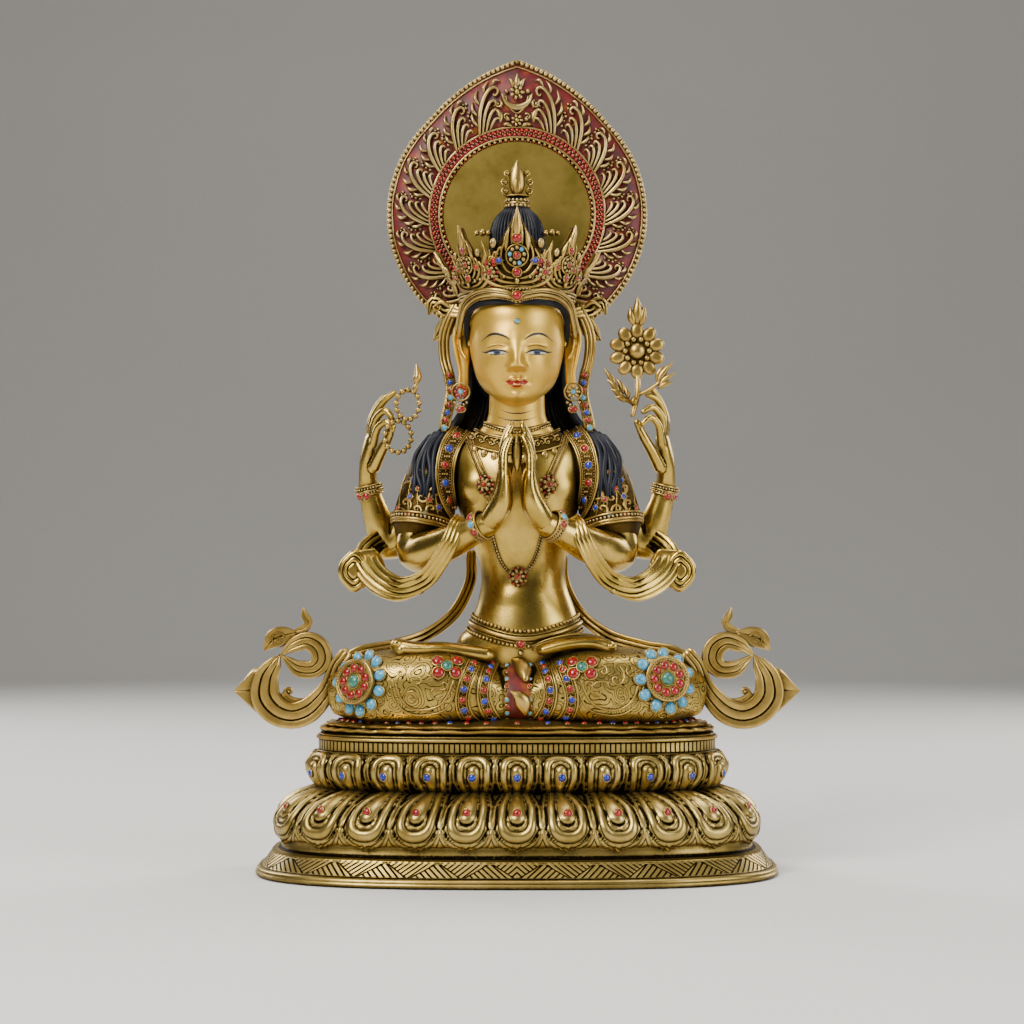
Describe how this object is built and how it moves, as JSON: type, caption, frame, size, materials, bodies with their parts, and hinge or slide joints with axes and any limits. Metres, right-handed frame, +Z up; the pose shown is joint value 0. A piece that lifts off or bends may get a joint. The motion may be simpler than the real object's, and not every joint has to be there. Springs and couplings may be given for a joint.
{
  "type": "avalokiteshvara statue",
  "caption": "Seated four-armed bodhisattva statue in gilt copper with set stones, a leaf-shaped openwork halo and an oval double-lotus plinth.",
  "frame": {"origin": "centre of the plinth's underside", "axes": "+Z up, the figure faces -Y, its left hand side is +X"},
  "size_m": [0.2259, 0.12, 0.3373],
  "materials": {
    "gilt_copper": "burnished fire gilding with darker hollows; matte cold gold on the face and neck",
    "antiqued_gilt": "gilding rubbed back to an antique brown in the recesses",
    "coral": "polished red coral cabochons",
    "turquoise": "polished turquoise cabochons",
    "lapis": "polished lapis cabochons"
  },
  "bodies": {
    "root": {"armlet_coral_left": "coral", "armlet_coral_right": "coral", "bracelet_coral_left": "coral", "bracelet_coral_right": "coral", "bracelet_turquoise_left": "turquoise", "bracelet_turquoise_right": "turquoise", "brow_turquoise": "turquoise", "coral_stone_01": "coral", "coral_stone_02": "coral", "coral_stone_03": "coral", "coral_stone_04": "coral", "coral_stone_05": "coral", "coral_stone_06": "coral", "coral_stone_07": "coral", "coral_stone_08": "coral", "coral_stone_09": "coral", "coral_stone_10": "coral", "coral_stone_11": "coral", "crown": "antiqued_gilt", "crown_coral_1": "coral", "crown_coral_2": "coral", "crown_coral_3": "coral", "crown_coral_4": "coral", "crown_coral_5": "coral", "figure": "gilt_copper", "halo": "antiqued_gilt", "knee_turquoise_left": "turquoise", "knee_turquoise_right": "turquoise", "lapis_stone_01": "lapis", "lapis_stone_02": "lapis", "lapis_stone_03": "lapis", "lapis_stone_04": "lapis", "lapis_stone_05": "lapis", "lapis_stone_06": "lapis", "lapis_stone_07": "lapis", "lapis_stone_08": "lapis", "lapis_stone_09": "lapis", "lapis_stone_10": "lapis", "lapis_stone_11": "lapis", "lotus_base": "antiqued_gilt", "lotus_flower": "antiqued_gilt", "rosary": "antiqued_gilt", "scarf_left": "antiqued_gilt", "scarf_right": "antiqued_gilt", "thigh_coral_left_1": "coral", "thigh_coral_left_2": "coral", "thigh_coral_left_3": "coral", "thigh_coral_right_1": "coral", "thigh_coral_right_2": "coral", "thigh_coral_right_3": "coral", "thigh_turquoise_left": "turquoise", "thigh_turquoise_right": "turquoise"}
  },
  "joints": []
}
